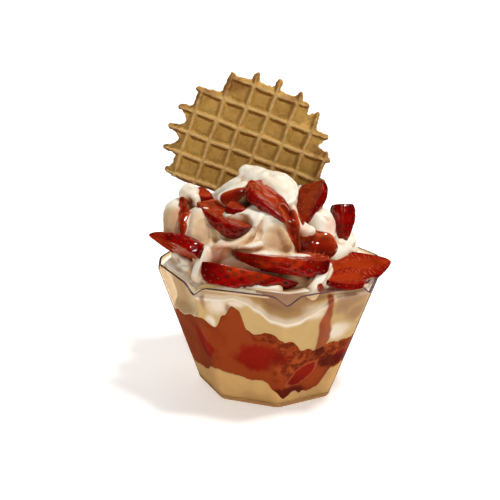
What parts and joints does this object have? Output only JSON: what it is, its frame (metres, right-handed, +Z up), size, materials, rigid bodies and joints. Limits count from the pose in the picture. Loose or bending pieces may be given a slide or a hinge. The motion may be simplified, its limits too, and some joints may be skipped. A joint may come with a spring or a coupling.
{
  "type": "strawberry ice cream sundae",
  "caption": "Ice cream sundae in a clear eight-sided cup: layers of ice cream and crushed strawberry, swirled cream, sliced strawberries with sauce, and a standing wafer waffle.",
  "frame": {"origin": "centre of the flat underside of the cup", "axes": "+Z up through the cup, +X to the right and +Y away, as the sundae is seen from the front"},
  "size_m": [0.0986, 0.0964, 0.1312],
  "materials": {
    "clear_plastic": "clear, faintly warm plastic, smooth and glossy, with a thin darker rim line",
    "ice_cream": "soft ivory ice cream pressed smooth against the wall",
    "crushed_strawberry": "wet crushed strawberry with crumbly patches and pressed slices",
    "cream": "soft white cream with a faint satin sheen and runs of strawberry sauce",
    "waffle": "golden baked wafer, lighter on the rib crests and darker in the cells",
    "strawberry": "glossy strawberry skin with sunken seeds, orange-red flesh, glazed with sauce"
  },
  "bodies": {
    "root": {"cup": "clear_plastic", "ice_cream_base": "ice_cream", "strawberry_layer": "crushed_strawberry", "cream_top": "cream", "waffle": "waffle", "half_left": "strawberry", "half_upper_left": "strawberry", "piece_at_waffle": "strawberry", "piece_small": "strawberry", "half_top": "strawberry", "half_upright": "strawberry", "half_far_right": "strawberry", "chunk_sauced": "strawberry", "half_front_upper": "strawberry", "half_front_lower": "strawberry", "slice_right": "strawberry", "slice_right_front": "strawberry", "slice_back_left": "strawberry", "half_back": "strawberry", "slice_back_right": "strawberry"}
  },
  "joints": []
}
